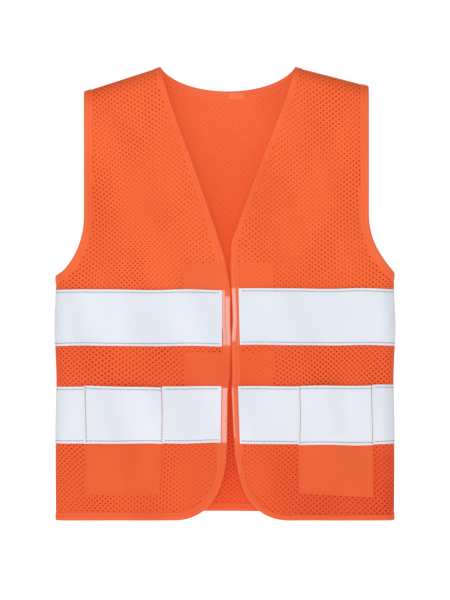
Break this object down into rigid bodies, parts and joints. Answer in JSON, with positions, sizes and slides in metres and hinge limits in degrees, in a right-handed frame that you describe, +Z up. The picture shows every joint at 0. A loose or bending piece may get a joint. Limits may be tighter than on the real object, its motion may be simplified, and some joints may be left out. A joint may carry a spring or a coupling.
{
  "type": "high visibility vest",
  "caption": "Child's sleeveless high visibility vest of orange mesh with bound edges, reflective bands, patch pockets and two fronts that fold open.",
  "frame": {"origin": "midway between the two neck points, on the shoulder line, where the wearer's shoulders carry the vest", "axes": "+Z up, -Y out of the front, +X to the wearer's left"},
  "size_m": [0.3038, 0.0332, 0.4026],
  "materials": {
    "mesh_cloth": "knitted polyester mesh, matt, bright orange-red, staggered small holes",
    "binding": "thin folded polyester tape, smooth, slightly sheer orange",
    "plain_cloth": "plain fine woven polyester, matt orange",
    "reflective_tape": "retroreflective fabric tape, pale silver-white, satin",
    "hook_and_loop": "hook-and-loop closure patch, orange, short nap",
    "grey_thread": "polyester lockstitch thread, grey",
    "orange_thread": "polyester sewing thread, orange"
  },
  "bodies": {
    "back": {"back_panel": "mesh_cloth", "right_side_panel": "mesh_cloth", "left_side_panel": "mesh_cloth", "back_upper_band": "reflective_tape", "right_upper_side_band": "reflective_tape", "left_upper_side_band": "reflective_tape", "back_lower_band": "reflective_tape", "right_lower_side_band": "reflective_tape", "left_lower_side_band": "reflective_tape", "right_pocket_side_band": "reflective_tape", "left_pocket_side_band": "reflective_tape", "right_pocket_side": "plain_cloth", "left_pocket_side": "plain_cloth", "back_neck_binding": "binding", "right_armhole_binding": "binding", "left_armhole_binding": "binding", "back_hem_binding": "binding", "right_side_hem_binding": "binding", "left_side_hem_binding": "binding", "neck_tab": "binding", "right_shoulder_seam": "orange_thread", "left_shoulder_seam": "orange_thread", "right_side_seam": "orange_thread", "left_side_seam": "orange_thread", "back_band_stitching": "grey_thread", "right_side_stitching": "grey_thread", "left_side_stitching": "grey_thread"},
    "right_front": {"right_front_panel": "mesh_cloth", "right_upper_band": "reflective_tape", "right_lower_band": "reflective_tape", "right_pocket": "plain_cloth", "right_pocket_band": "reflective_tape", "right_upper_patch": "hook_and_loop", "right_lower_patch": "hook_and_loop", "right_front_binding": "binding", "right_band_stitching": "grey_thread", "right_pocket_stitching": "orange_thread"},
    "left_front": {"left_front_panel": "mesh_cloth", "left_upper_band": "reflective_tape", "left_lower_band": "reflective_tape", "left_pocket": "plain_cloth", "left_pocket_band": "reflective_tape", "left_upper_patch": "hook_and_loop", "left_lower_patch": "hook_and_loop", "left_front_binding": "binding", "left_band_stitching": "grey_thread", "left_pocket_stitching": "orange_thread"}
  },
  "joints": [
    {"name": "right_front_fold", "type": "hinge", "parent": "back", "child": "right_front", "pos_m": [-0.057, -0.0139, -0.01261], "axis": [-0.2037, 0, -0.979], "range_deg": [0, 150]},
    {"name": "left_front_fold", "type": "hinge", "parent": "back", "child": "left_front", "pos_m": [0.062, -0.0139, -0.0124], "axis": [-0.1915, 0, 0.9815], "range_deg": [0, 150]}
  ]
}
